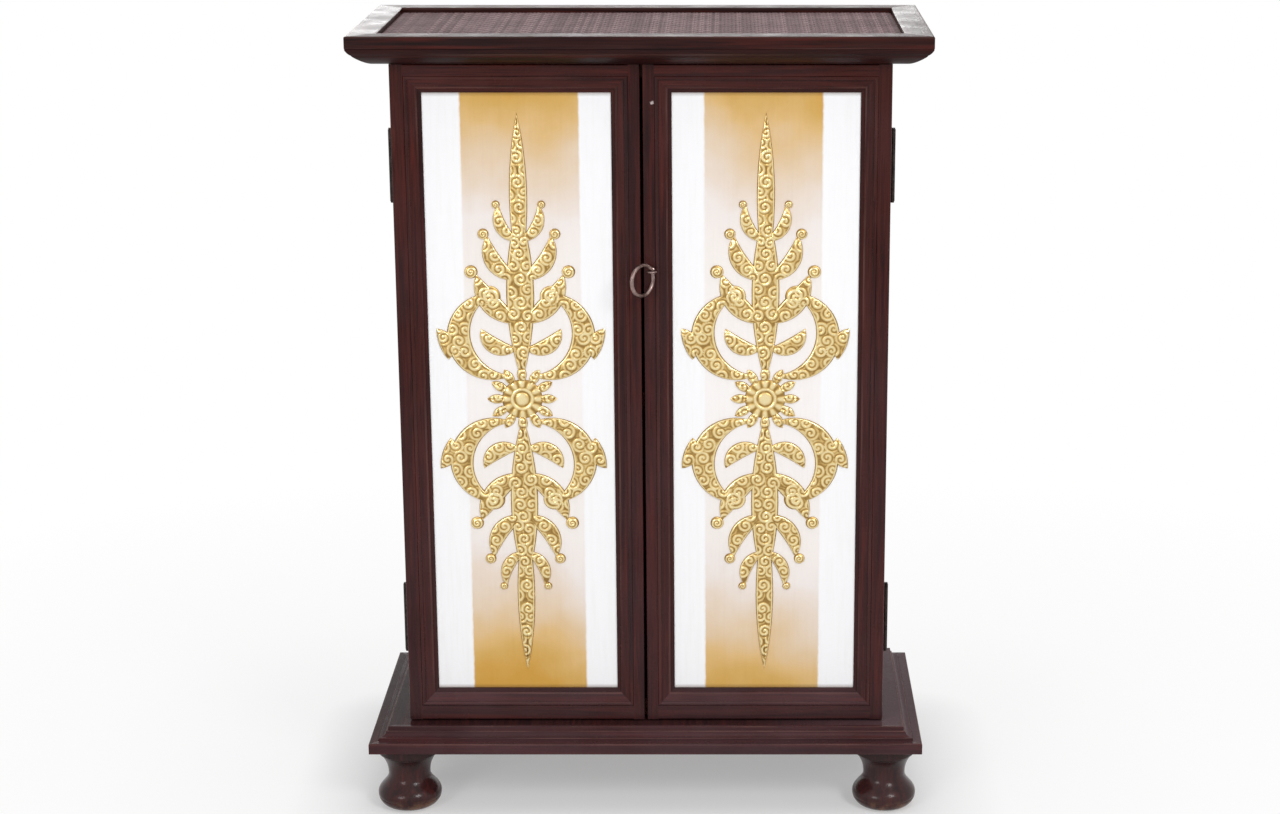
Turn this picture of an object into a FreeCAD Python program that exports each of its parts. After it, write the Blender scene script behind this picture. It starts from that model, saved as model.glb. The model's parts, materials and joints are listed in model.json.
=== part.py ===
import FreeCAD, Part
import math
import os

from FreeCAD import Placement, Rotation, Vector

# Two-door cabinet on turned feet. Sizes are in millimetres.
# The origin is on the floor under the middle of the cabinet: X to the right, Y to the back, Z up.

# Heights, from the floor up
foot_height = 72.5
plinth_height = 25.0
case_height = 726.0
top_thickness = 31.0

# Top: a board edged with mitred rails, and a woven mat sunk between them
top_width = 600.0
top_depth = 286.0
top_edge_round = 1.6
top_under_run = 26.0
top_under_height = 18.6
top_under_flat = 3.0
mat_thickness = 1.5
mat_sink = 5.0

# Case
case_width = 520.0
front_overhang = 36.0
back_overhang = 36.0
board_thickness = 18.0
back_thickness = 6.0
back_rebate_width = 9.0
shelf_thickness = 16.0
shelf_setback = 22.0
shelf_side_clearance = 0.5
shelf_height_share = 0.5
peg_radius = 2.5
peg_length = 20.0
peg_inset = 35.0

# Plinth: a flat frame with a mitred moulding round it
plinth_width = 604.0
plinth_depth = 286.0
plinth_rail_width = 75.0
plinth_side_rail_width = 60.0
plinth_fascia_height = 12.2
plinth_fascia_step = 10.0
plinth_fascia_round = 1.2
plinth_lower_fillet = 3.0
plinth_cove_run = 7.5
plinth_upper_step = 2.0
plinth_upper_fillet = 4.5
plinth_land_width = 4.5

# Turned feet
foot_inset = 39.0
foot_collar_radius = 34.0
foot_collar_height = 16.5
foot_collar_round = 2.0
foot_neck_radius = 23.0
foot_neck_drop = 35.5
foot_bun_radius = 35.0
foot_base_radius = 22.0
foot_spigot_radius = 10.0
foot_spigot_clearance = 0.1

# Doors: stiles and rails lapped at the corners, a panel laid in from the front, a moulding over its edge
door_lip_thickness = 5.0
door_edge_round = 1.5
door_meeting_gap = 3.0
door_end_gap = 2.0
hinge_stile_width = 32.0
meeting_stile_width = 30.0
door_top_rail_width = 30.0
door_bottom_rail_width = 34.0
panel_sink = 9.0
panel_thickness = 6.0
panel_clearance = 0.5
moulding_width = 18.0
moulding_height = 8.2
moulding_bead_width = 4.0
moulding_bead_crown = 1.0
moulding_quirk = 1.0
moulding_step_width = 4.0
moulding_step_height = 3.4
moulding_lip_height = 1.2

# Gilt relief on each panel
relief_thickness = 2.6
petal_count = 12

# Butt hinges
hinge_length = 76.0
hinge_top_inset = 70.5
hinge_bottom_inset = 74.5
hinge_gap = 1.0
leaf_width = 16.0
leaf_thickness = 1.5
knuckle_radius = 2.5
knuckle_count = 5
knuckle_side_clearance = 0.3
knuckle_end_clearance = 0.2
hinge_pin_radius = 1.2
hinge_pin_clearance = 0.05
hinge_pin_cap_radius = 2.0
hinge_pin_cap_height = 1.6

# Magnetic catches and their strikes
catch_inset = 26.0
catch_length = 40.0
catch_depth = 14.0
catch_height = 8.0
catch_clearance = 0.3
strike_length = 30.0
strike_height = 11.0
strike_thickness = 1.2
strike_drop = 1.0

# Ring pull in a screw eye on the right door
eye_height = 532.5
eye_wire_radius = 1.3
eye_clearance = 0.7
eye_neck_length = 2.5
eye_shank_radius = 1.5
ring_outer_radius = 18.25
ring_wire_radius = 2.0
ring_drop = 7.0
ring_turn_out = 41.0

# Countersunk screws
small_screw_radius = 1.5
large_screw_radius = 2.2
leaf_screw_count = 3
carcass_screw_inset = 60.0
back_screw_count = 5

# Shares
quarter_round_share = 0.5523
top_under_share = 0.3
foot_bun_rise_share = 0.39
foot_ogee_share = 0.4
foot_spigot_share = 0.72
screw_head_share = 1.9
small_screw_share = 0.7
large_screw_bite_share = 0.7
strike_screw_bite_share = 0.8
eye_shank_share = 0.8
eye_across_share = 0.73
relief_slenderness_share = 10 / 3
# Each horn of the relief: start across and up, end across and up, inner bow and outer bow
# The ends are shares of the relief's width and height, the bows are shares of the horn's own length
relief_horn_shares = (
    (0.050, 0.040, 0.130, 0.176, 0.40, 0.68),
    (0.020, 0.085, 0.215, 0.118, 0.02, 0.42),
    (0.395, 0.066, 0.455, 0.118, -0.34, 0.10),
    (0.000, 0.128, 0.235, 0.208, -0.02, 0.30),
    (0.000, 0.200, 0.170, 0.272, 0.04, 0.36),
    (0.000, 0.262, 0.105, 0.322, 0.06, 0.36),
)
# Volute eyes on the relief: across, up and radius, as shares of the relief's width, height and width
relief_bead_shares = (
    (0.165, 0.171, 0.060),
    (0.262, 0.212, 0.036),
    (0.192, 0.274, 0.030),
    (0.122, 0.322, 0.022),
)
# Lance leaves on the relief's axis: foot, tip and half width, as shares of its height, height and width
relief_lance_shares = (
    (0.03, 0.32, 0.075),
    (0.20, 0.47, 0.048),
)
rosette_radius_share = 0.110
petal_length_share = 0.080
petal_width_share = 0.026

# Places worked out from the sizes
plinth_low_z = foot_height
case_low_z = plinth_low_z + plinth_height
case_high_z = case_low_z + case_height
top_high_z = case_high_z + top_thickness
top_rail_width = top_under_run + top_under_flat
mat_high_z = top_high_z - mat_sink
top_panel_high_z = mat_high_z - mat_thickness
case_half = case_width / 2
inner_half = case_half - board_thickness
door_thickness = panel_sink + panel_thickness + door_lip_thickness
door_front_y = -top_depth / 2 + front_overhang
door_back_y = door_front_y + door_thickness
case_front_y = door_back_y + hinge_gap
case_back_y = top_depth / 2 - back_overhang
board_back_y = case_back_y - back_thickness
bottom_board_high_z = case_low_z + board_thickness
top_board_low_z = case_high_z - board_thickness
shelf_high_z = bottom_board_high_z + (top_board_low_z - bottom_board_high_z) * shelf_height_share
shelf_low_z = shelf_high_z - shelf_thickness
door_low_x = door_meeting_gap / 2
door_low_z = case_low_z + door_end_gap
door_high_z = case_high_z - door_end_gap
panel_front_y = door_front_y + panel_sink
panel_back_y = panel_front_y + panel_thickness
opening_low_x = door_low_x + meeting_stile_width
opening_high_x = case_half - hinge_stile_width
opening_low_z = door_low_z + door_bottom_rail_width
opening_high_z = door_high_z - door_top_rail_width
opening_width = opening_high_x - opening_low_x
opening_height = opening_high_z - opening_low_z
opening_middle_x = (opening_low_x + opening_high_x) / 2
opening_middle_z = (opening_low_z + opening_high_z) / 2
opening_middle = Vector(opening_middle_x, panel_front_y, opening_middle_z)
relief_width = min(opening_width, opening_height / relief_slenderness_share)
relief_height = relief_width * relief_slenderness_share
hinge_x = case_half + knuckle_radius + knuckle_side_clearance
hinge_y = case_front_y - hinge_gap / 2
hinge_low_zs = (door_low_z + hinge_bottom_inset, door_high_z - hinge_top_inset - hinge_length)
facing_front = Rotation(Vector(1, 0, 0), 90)


def block(x_low, x_high, y_low, y_high, z_low, z_high):
    return Part.makeBox(x_high - x_low, y_high - y_low, z_high - z_low, Vector(x_low, y_low, z_low))


def mirrored(shape):
    return shape.mirror(Vector(0, 0, 0), Vector(1, 0, 0))


def line(start, end):
    return Part.LineSegment(start, end).toShape()


def curve(*poles):
    shape = Part.BezierCurve()
    shape.setPoles(list(poles))
    return shape.toShape()


def quarter(start, corner, end, share=quarter_round_share):
    # A round or a hollow that leaves start and reaches end along the two lines to corner
    first = start + (corner - start) * share
    second = end + (corner - end) * share
    return curve(start, first, second, end)


def bow(start, middle, end):
    return Part.Arc(start, middle, end).toShape()


def across(inward, up):
    # A point of a moulding's section: inward from its outer edge, and up from its underside
    return Vector(0, inward, up)


def mitred_ring(section, width, depth, strip_width, strip_height):
    # Four strips of one section round a rectangle, outer faces on its edges and undersides at zero
    sides = (
        ("front", width, 0, Vector(0, -depth / 2, 0)),
        ("right", depth, 90, Vector(width / 2, 0, 0)),
        ("back", width, 180, Vector(0, depth / 2, 0)),
        ("left", depth, 270, Vector(-width / 2, 0, 0)),
    )
    strips = {}
    for name, length, turn, edge in sides:
        half = length / 2
        start = section.copy()
        start.translate(Vector(-half, 0, 0))
        bar = start.extrude(Vector(length, 0, 0))
        plan = [
            Vector(-half, 0, 0),
            Vector(half, 0, 0),
            Vector(half - strip_width, strip_width, 0),
            Vector(strip_width - half, strip_width, 0),
            Vector(-half, 0, 0),
        ]
        wedge = Part.Face(Part.makePolygon(plan)).extrude(Vector(0, 0, strip_height))
        strip = bar.common(wedge).Solids[0]
        strip.Placement = Placement(edge, Rotation(Vector(0, 0, 1), turn))
        strips[name] = strip
    return strips


def screw(head, direction, radius, length):
    # A countersunk screw whose flat head lies at head and whose tip points along direction
    head_radius = radius * screw_head_share
    head_depth = head_radius - radius
    cone = Part.makeCone(head_radius, radius, head_depth, head, direction)
    shank = Part.makeCylinder(radius, length - head_depth, head + direction * head_depth, direction)
    return cone.fuse(shank).removeSplitter()


def without(shape, cutters):
    return shape.cut(Part.makeCompound(cutters)) if cutters else shape


# Screws of the carcass
back_y, front_y = Vector(0, 1, 0), Vector(0, -1, 0)
up_z, down_z = Vector(0, 0, 1), Vector(0, 0, -1)
small_screw_length = door_thickness * small_screw_share
large_screw_bite = min(top_panel_high_z - case_high_z, plinth_height) * large_screw_bite_share
large_screw_length = board_thickness + large_screw_bite
carcass_screws = []
for x_side in (-1, 1):
    screw_x = x_side * (inner_half - carcass_screw_inset)
    for screw_y in (case_front_y + carcass_screw_inset / 2, board_back_y - carcass_screw_inset / 2):
        low_head = Vector(screw_x, screw_y, bottom_board_high_z)
        high_head = Vector(screw_x, screw_y, top_board_low_z)
        carcass_screws.append(screw(low_head, down_z, large_screw_radius, large_screw_length))
        carcass_screws.append(screw(high_head, up_z, large_screw_radius, large_screw_length))

back_screws = []
back_screw_inset = board_thickness / 2
back_screw_step = (case_height - board_thickness) / (back_screw_count - 1)
back_screw_x = inner_half + back_rebate_width / 2
for x_side in (-1, 1):
    for index in range(back_screw_count):
        screw_z = case_low_z + back_screw_inset + index * back_screw_step
        head = Vector(x_side * back_screw_x, case_back_y, screw_z)
        back_screws.append(screw(head, front_y, small_screw_radius, small_screw_length))


# Hinges: the right-hand set, mirrored for the left
knuckle_pitch = hinge_length / knuckle_count
knuckle_bore = hinge_pin_radius + hinge_pin_clearance
leaf_inner_x = case_half - leaf_width


def hinge_leaf(low_z, y_low, y_high, knuckles):
    leaf = block(leaf_inner_x, case_half, y_low, y_high, low_z, low_z + hinge_length)
    rolls = []
    for index in knuckles:
        roll_low_z = low_z + index * knuckle_pitch + knuckle_end_clearance / 2
        roll_length = knuckle_pitch - knuckle_end_clearance
        centre = Vector(hinge_x, hinge_y, roll_low_z)
        rolls.append(block(case_half, hinge_x, y_low, y_high, roll_low_z, roll_low_z + roll_length))
        rolls.append(Part.makeCylinder(knuckle_radius, roll_length, centre))
    bore = Part.makeCylinder(knuckle_bore, hinge_length, Vector(hinge_x, hinge_y, low_z))
    return leaf.multiFuse(rolls).removeSplitter().cut(bore)


def hinge_pin(low_z):
    foot = Vector(hinge_x, hinge_y, low_z + knuckle_end_clearance / 2)
    length = hinge_length - knuckle_end_clearance
    pin = Part.makeCylinder(hinge_pin_radius, length, foot)
    low_cap = Part.makeCylinder(hinge_pin_cap_radius, hinge_pin_cap_height, foot, down_z)
    high_cap = Part.makeCylinder(hinge_pin_cap_radius, hinge_pin_cap_height, foot + up_z * length)
    return pin.multiFuse([low_cap, high_cap]).removeSplitter()


case_leaf_screws = []
door_leaf_screws = []
for low_z in hinge_low_zs:
    for index in range(leaf_screw_count):
        screw_z = low_z + hinge_length * (index + 0.5) / leaf_screw_count
        screw_x = case_half - leaf_width / 2
        case_head = Vector(screw_x, case_front_y, screw_z)
        door_head = Vector(screw_x, door_back_y, screw_z)
        case_leaf_screws.append(screw(case_head, back_y, small_screw_radius, small_screw_length))
        door_leaf_screws.append(screw(door_head, front_y, small_screw_radius, small_screw_length))

even_knuckles = range(0, knuckle_count, 2)
odd_knuckles = range(1, knuckle_count, 2)
case_leaf_ys = (case_front_y, case_front_y + leaf_thickness)
door_leaf_ys = (door_back_y - leaf_thickness, door_back_y)
case_leaves = [without(hinge_leaf(z, *case_leaf_ys, even_knuckles), case_leaf_screws) for z in hinge_low_zs]
door_leaves = [without(hinge_leaf(z, *door_leaf_ys, odd_knuckles), door_leaf_screws) for z in hinge_low_zs]
hinge_pins = [hinge_pin(z) for z in hinge_low_zs]


def leaf_gains(y_low, y_high):
    return [block(leaf_inner_x, case_half, y_low, y_high, z, z + hinge_length) for z in hinge_low_zs]


# Catches under the top board and strikes on the backs of the doors
catch_front_y = door_back_y + strike_thickness + catch_clearance
catch_high_x = catch_inset + catch_length
catch_middle_x = (catch_inset + catch_high_x) / 2
catch_middle_y = catch_front_y + catch_depth / 2
strike_high_z = top_board_low_z - strike_drop
strike_low_z = strike_high_z - strike_height
catch_screws = []
for x_side in (-1, 1):
    head = Vector(catch_middle_x + x_side * catch_length / 4, catch_middle_y, top_board_low_z - catch_height)
    catch_screws.append(screw(head, up_z, small_screw_radius, small_screw_length))
strike_head = Vector(catch_middle_x, door_back_y + strike_thickness, (strike_low_z + strike_high_z) / 2)
strike_screw_length = strike_thickness + door_lip_thickness * strike_screw_bite_share
strike_screw = screw(strike_head, front_y, small_screw_radius, strike_screw_length)


def magnetic_catch():
    body = block(catch_inset, catch_high_x, catch_front_y, catch_front_y + catch_depth,
                 top_board_low_z - catch_height, top_board_low_z)
    return without(body, catch_screws)


def strike_plate():
    half = strike_length / 2
    plate = block(catch_middle_x - half, catch_middle_x + half, door_back_y, door_back_y + strike_thickness,
                  strike_low_z, strike_high_z)
    return plate.cut(strike_screw)


# Top
top_panel_half_x = top_width / 2 - top_rail_width
top_panel_half_y = top_depth / 2 - top_rail_width


def top_rail_section():
    width, height, soft = top_rail_width, top_thickness, top_edge_round
    return Part.Face(Part.Wire([
        line(across(width, 0), across(top_under_run, 0)),
        quarter(across(top_under_run, 0), across(0, 0), across(0, top_under_height), top_under_share),
        line(across(0, top_under_height), across(0, height - soft)),
        quarter(across(0, height - soft), across(0, height), across(soft, height)),
        line(across(soft, height), across(width - soft, height)),
        quarter(across(width - soft, height), across(width, height), across(width, height - soft)),
        line(across(width, height - soft), across(width, 0)),
    ]))


def top_rails():
    rails = mitred_ring(top_rail_section(), top_width, top_depth, top_rail_width, top_thickness)
    for rail in rails.values():
        rail.translate(Vector(0, 0, case_high_z))
    return {"top_" + side + "_rail": without(rail, carcass_screws) for side, rail in rails.items()}


def top_panel():
    panel = block(-top_panel_half_x, top_panel_half_x, -top_panel_half_y, top_panel_half_y,
                  case_high_z, top_panel_high_z)
    return without(panel, carcass_screws)


def woven_mat():
    return block(-top_panel_half_x, top_panel_half_x, -top_panel_half_y, top_panel_half_y,
                 top_panel_high_z, mat_high_z)


# Case
peg_ys = (case_front_y + shelf_setback + peg_inset, board_back_y - peg_inset)
peg_z = shelf_low_z - peg_radius


def shelf_peg(x_side, y):
    start = Vector(x_side * (inner_half - peg_length / 2), y, peg_z)
    return Part.makeCylinder(peg_radius, peg_length, start, Vector(x_side, 0, 0))


shelf_pegs = [shelf_peg(x_side, y) for x_side in (-1, 1) for y in peg_ys]


def right_side_panel():
    side = block(inner_half, case_half, case_front_y, case_back_y, case_low_z, case_high_z)
    rebate = block(inner_half, inner_half + back_rebate_width, board_back_y, case_back_y,
                   case_low_z, case_high_z)
    return without(side, [rebate] + leaf_gains(*case_leaf_ys) + case_leaf_screws + shelf_pegs + back_screws)


def case_board(z_low, z_high, screws):
    board = block(-inner_half, inner_half, case_front_y, board_back_y, z_low, z_high)
    return without(board, screws)


def back_panel():
    half = inner_half + back_rebate_width
    return without(block(-half, half, board_back_y, case_back_y, case_low_z, case_high_z), back_screws)


def shelf():
    half = inner_half - shelf_side_clearance
    return block(-half, half, case_front_y + shelf_setback, board_back_y, shelf_low_z, shelf_high_z)


# Plinth and feet
foot_x = plinth_width / 2 - foot_inset
foot_y = plinth_depth / 2 - foot_inset
foot_spigot_length = plinth_height * foot_spigot_share
plinth_moulding_width = plinth_fascia_step + plinth_cove_run + plinth_upper_step + plinth_land_width
plinth_inner_half_x = plinth_width / 2 - plinth_moulding_width
plinth_inner_half_y = plinth_depth / 2 - plinth_moulding_width
plinth_rail_inner_y = plinth_inner_half_y - plinth_rail_width


def plinth_section():
    width, height, soft = plinth_moulding_width, plinth_height, plinth_fascia_round
    step, fascia = plinth_fascia_step, plinth_fascia_height
    cove_low = fascia + plinth_lower_fillet
    cove_high = height - plinth_upper_fillet
    cove_end = step + plinth_cove_run
    shoulder = cove_end + plinth_upper_step
    return Part.Face(Part.Wire([
        line(across(width, 0), across(0, 0)),
        line(across(0, 0), across(0, fascia - soft)),
        quarter(across(0, fascia - soft), across(0, fascia), across(soft, fascia)),
        line(across(soft, fascia), across(step, fascia)),
        line(across(step, fascia), across(step, cove_low)),
        quarter(across(step, cove_low), across(cove_end, cove_low), across(cove_end, cove_high)),
        line(across(cove_end, cove_high), across(shoulder, cove_high)),
        line(across(shoulder, cove_high), across(shoulder, height)),
        line(across(shoulder, height), across(width, height)),
        line(across(width, height), across(width, 0)),
    ]))


def plinth_mouldings():
    strips = mitred_ring(plinth_section(), plinth_width, plinth_depth, plinth_moulding_width, plinth_height)
    for strip in strips.values():
        strip.translate(Vector(0, 0, plinth_low_z))
    return {"plinth_" + side + "_moulding": strip for side, strip in strips.items()}


def plinth_rails():
    long_half, short_half = plinth_inner_half_x, plinth_rail_inner_y
    bored = foot_spigot_radius + foot_spigot_clearance
    sockets = [
        Part.makeCylinder(bored, foot_spigot_length, Vector(x_side * foot_x, y_side * foot_y, plinth_low_z))
        for x_side in (-1, 1) for y_side in (-1, 1)
    ]
    front = block(-long_half, long_half, -plinth_inner_half_y, -short_half, plinth_low_z, case_low_z)
    back = block(-long_half, long_half, short_half, plinth_inner_half_y, plinth_low_z, case_low_z)
    right = block(long_half - plinth_side_rail_width, long_half, -short_half, short_half,
                  plinth_low_z, case_low_z)
    return {
        "plinth_front_rail": without(front, sockets + carcass_screws),
        "plinth_back_rail": without(back, sockets + carcass_screws),
        "plinth_left_rail": without(mirrored(right), carcass_screws),
        "plinth_right_rail": without(right, carcass_screws),
    }


def turned_foot():
    # One turned piece: spigot, collar, hollow neck and bun, standing on a flat base
    def at(radius, z):
        return Vector(radius, 0, z)

    collar_low = foot_height - foot_collar_height
    neck_z = foot_height - foot_neck_drop
    bun_z = neck_z * foot_bun_rise_share
    spigot_high = foot_height + foot_spigot_length
    collar, soft, neck = foot_collar_radius, foot_collar_round, foot_neck_radius
    bun, base = foot_bun_radius, foot_base_radius
    ogee = (neck_z - bun_z) * foot_ogee_share
    outline = [
        line(at(0, 0), at(base, 0)),
        quarter(at(base, 0), at(bun, 0), at(bun, bun_z)),
        curve(at(bun, bun_z), at(bun, bun_z + ogee), at(neck, neck_z - ogee), at(neck, neck_z)),
        quarter(at(neck, neck_z), at(neck, collar_low), at(collar - soft, collar_low)),
        quarter(at(collar - soft, collar_low), at(collar, collar_low), at(collar, collar_low + soft)),
        line(at(collar, collar_low + soft), at(collar, foot_height)),
        line(at(collar, foot_height), at(foot_spigot_radius, foot_height)),
        line(at(foot_spigot_radius, foot_height), at(foot_spigot_radius, spigot_high)),
        line(at(foot_spigot_radius, spigot_high), at(0, spigot_high)),
        line(at(0, spigot_high), at(0, 0)),
    ]
    return Part.Face(Part.Wire(outline)).revolve(Vector(0, 0, 0), Vector(0, 0, 1), 360)


def feet():
    nodes = {}
    for y_name, y_side in (("front", -1), ("back", 1)):
        for x_name, x_side in (("left", -1), ("right", 1)):
            foot = turned_foot()
            foot.translate(Vector(x_side * foot_x, y_side * foot_y, 0))
            nodes[y_name + "_" + x_name + "_foot"] = foot
    return nodes


# Doors: the right-hand door, mirrored for the left
meeting_band = meeting_stile_width - moulding_width
hinge_band = hinge_stile_width - moulding_width
top_band = door_top_rail_width - moulding_width
bottom_band = door_bottom_rail_width - moulding_width
recess_low_x = door_low_x + meeting_band
recess_high_x = case_half - hinge_band
recess_low_z = door_low_z + bottom_band
recess_high_z = door_high_z - top_band


def softened(shape, x, z):
    # Round the long front edge of a frame piece that lies on the door's outline
    edges = []
    for edge in shape.Edges:
        box = edge.BoundBox
        on_front = abs(box.YMin - door_front_y) + abs(box.YMax - door_front_y) < door_edge_round / 10
        on_x = x is not None and abs(box.XMin - x) + abs(box.XMax - x) < door_edge_round / 10
        on_z = z is not None and abs(box.ZMin - z) + abs(box.ZMax - z) < door_edge_round / 10
        if on_front and (on_x or on_z):
            edges.append(edge)
    return shape.makeFillet(door_edge_round, edges)


def stile(x_outer, x_recess, x_inner):
    # Full height: a thick band outside, and a thin lip behind the panel
    band_x = sorted((x_outer, x_recess))
    lip_x = sorted((x_recess, x_inner))
    band = block(*band_x, door_front_y, door_back_y, door_low_z, door_high_z)
    lip = block(*lip_x, panel_back_y, door_back_y, door_low_z, door_high_z)
    return softened(band.fuse(lip).removeSplitter(), x_outer, None)


def rail(z_outer, z_recess, z_inner):
    # Lapped over the lips of the two stiles at its ends
    band_z = sorted((z_outer, z_recess))
    lip_z = sorted((z_outer, z_inner))
    band = block(recess_low_x, recess_high_x, door_front_y, panel_back_y, *band_z)
    lip = block(opening_low_x, opening_high_x, panel_back_y, door_back_y, *lip_z)
    return softened(band.fuse(lip).removeSplitter(), None, z_outer)


def panel_moulding():
    width, top = moulding_width, moulding_height
    bead = moulding_bead_width
    slope_end = width - moulding_step_width
    step = moulding_step_height
    lip = moulding_lip_height
    section = Part.Face(Part.Wire([
        line(across(width, 0), across(0, 0)),
        line(across(0, 0), across(0, top)),
        bow(across(0, top), across(bead / 2, top + moulding_bead_crown), across(bead, top)),
        line(across(bead, top), across(bead, top - moulding_quirk)),
        line(across(bead, top - moulding_quirk), across(slope_end, step)),
        line(across(slope_end, step), across(slope_end, step - moulding_quirk)),
        quarter(across(slope_end, step - moulding_quirk), across(width, step - moulding_quirk),
                across(width, lip)),
        line(across(width, lip), across(width, 0)),
    ]))
    high = top + moulding_bead_crown
    strips = mitred_ring(section, recess_high_x - recess_low_x, recess_high_z - recess_low_z, width, high)
    middle = Vector((recess_low_x + recess_high_x) / 2, panel_front_y, (recess_low_z + recess_high_z) / 2)
    stand_up = Placement(middle, facing_front)
    for strip in strips.values():
        strip.Placement = stand_up.multiply(strip.Placement)
    return Part.makeCompound(list(strips.values()))


def door_panel():
    slack = panel_clearance
    return block(recess_low_x + slack, recess_high_x - slack, panel_front_y, panel_back_y,
                 recess_low_z + slack, recess_high_z - slack)


def horn(start, end, inner_bow, outer_bow):
    # A curved leaf between two points, with one edge bowed more than the other
    middle = (start + end) / 2
    reach = end - start
    side = Vector(reach.y, -reach.x, 0)
    inner = middle + side * inner_bow
    outer = middle + side * outer_bow
    return Part.Face(Part.Wire([bow(start, inner, end), bow(end, outer, start)]))


def spindle(start, end, half_width):
    length = (end - start).Length
    return horn(start, end, -half_width / length, half_width / length)


def disc(centre, radius):
    return Part.Face(Part.Wire(Part.Circle(centre, Vector(0, 0, 1), radius).toShape()))


def gilt_relief():
    # A rosette between two tapering stems of lance leaves, with paired scroll leaves and volute eyes
    def at(across_share, up_share):
        return Vector(across_share * relief_width, up_share * relief_height, 0)

    rosette_radius = rosette_radius_share * relief_width
    petal_half_width = petal_width_share * relief_width
    petal_root = rosette_radius - petal_half_width
    petal_end = rosette_radius + petal_length_share * relief_width
    faces = [disc(Vector(0, 0, 0), rosette_radius)]
    for index in range(petal_count):
        angle = math.tau * index / petal_count
        ray = Vector(math.cos(angle), math.sin(angle), 0)
        faces.append(spindle(ray * petal_root, ray * petal_end, petal_half_width))
    for y_side in (-1, 1):
        for foot, tip, half_width in relief_lance_shares:
            faces.append(spindle(at(0, y_side * foot), at(0, y_side * tip), half_width * relief_width))
        for x_side in (-1, 1):
            for x0, y0, x1, y1, inner_bow, outer_bow in relief_horn_shares:
                start, end = at(x_side * x0, y_side * y0), at(x_side * x1, y_side * y1)
                hand = x_side * y_side
                faces.append(horn(start, end, hand * inner_bow, hand * outer_bow))
            for x, y, radius in relief_bead_shares:
                faces.append(disc(at(x_side * x, y_side * y), radius * relief_width))
    solids = [face.extrude(Vector(0, 0, relief_thickness)) for face in faces]
    relief = solids[0].multiFuse(solids[1:]).removeSplitter()
    relief.Placement = Placement(opening_middle, facing_front)
    return relief


# Ring pull: the eye stands on the right door's meeting stile, near the moulding, and its hole is upright
eye_turn_radius = ring_wire_radius + eye_clearance + eye_wire_radius
eye_x = door_low_x + meeting_band * eye_across_share
eye_y = door_front_y - eye_neck_length - eye_wire_radius - eye_turn_radius
eye_centre = Vector(eye_x, eye_y, foot_height + eye_height)


def pull_eye():
    loop = Part.makeTorus(eye_turn_radius, eye_wire_radius, eye_centre)
    shank_start = eye_centre + back_y * eye_turn_radius
    shank_length = door_front_y - shank_start.y + door_thickness * eye_shank_share
    return loop.fuse(Part.makeCylinder(eye_shank_radius, shank_length, shank_start, back_y)).removeSplitter()


def pull_ring():
    turn_radius = ring_outer_radius - ring_wire_radius
    reach = math.sqrt(turn_radius ** 2 - ring_drop ** 2)
    angle = math.radians(ring_turn_out)
    outward = Vector(-math.sin(angle), -math.cos(angle), 0)
    centre = eye_centre + outward * reach - up_z * ring_drop
    return Part.makeTorus(turn_radius, ring_wire_radius, centre, outward.cross(up_z))


def right_door():
    hinge_side = stile(case_half, recess_high_x, opening_high_x)
    hinge_side = without(hinge_side, leaf_gains(*door_leaf_ys) + door_leaf_screws)
    top = rail(door_high_z, recess_high_z, opening_high_z).cut(strike_screw)
    return {
        "hinge_stile": hinge_side,
        "meeting_stile": stile(door_low_x, recess_low_x, opening_low_x),
        "top_rail": top,
        "bottom_rail": rail(door_low_z, recess_low_z, opening_low_z),
        "panel_moulding": panel_moulding(),
        "panel": door_panel(),
        "gilt_relief": gilt_relief(),
    }


def assembly():
    nodes = {}
    nodes.update(top_rails())
    nodes["top_panel"] = top_panel()
    nodes["woven_mat"] = woven_mat()

    side = right_side_panel()
    nodes["left_side_panel"] = mirrored(side)
    nodes["right_side_panel"] = side
    all_catch_screws = catch_screws + [mirrored(item) for item in catch_screws]
    nodes["case_top_board"] = case_board(top_board_low_z, case_high_z, carcass_screws + all_catch_screws)
    nodes["case_bottom_board"] = case_board(case_low_z, bottom_board_high_z, carcass_screws)
    nodes["back_panel"] = back_panel()
    nodes["shelf"] = shelf()
    nodes["shelf_pegs"] = Part.makeCompound(shelf_pegs)

    nodes.update(plinth_rails())
    nodes.update(plinth_mouldings())
    nodes.update(feet())

    for name, piece in right_door().items():
        nodes["left_door_" + name] = mirrored(piece)
        nodes["right_door_" + name] = piece
    eye = pull_eye()
    nodes["right_door_meeting_stile"] = nodes["right_door_meeting_stile"].cut(eye)
    nodes["pull_eye"] = eye
    nodes["pull_ring"] = pull_ring()

    hardware = {
        "hinge_case_leaves": Part.makeCompound(case_leaves),
        "hinge_door_leaves": Part.makeCompound(door_leaves),
        "hinge_pins": Part.makeCompound(hinge_pins),
        "magnetic_catch": magnetic_catch(),
        "strike_plate": strike_plate(),
        "door_screws": Part.makeCompound(door_leaf_screws + [strike_screw]),
    }
    for name, piece in hardware.items():
        nodes["left_" + name] = mirrored(piece)
        nodes["right_" + name] = piece
    case_screws = case_leaf_screws + catch_screws
    nodes["case_hardware_screws"] = Part.makeCompound(case_screws + [mirrored(item) for item in case_screws])
    nodes["carcass_screws"] = Part.makeCompound(carcass_screws)
    nodes["back_panel_screws"] = Part.makeCompound(back_screws)
    return nodes


os.makedirs("parts", exist_ok=True)
for node_name, shape in assembly().items():
    shape.exportStep("parts/" + node_name + ".step")
    print(node_name, len(shape.Solids), round(shape.Volume))
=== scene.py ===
import json
import math
import random

import bmesh
import bpy
from mathutils import Matrix, Vector
from mathutils.geometry import interpolate_bezier
from mathutils.kdtree import KDTree


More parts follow.
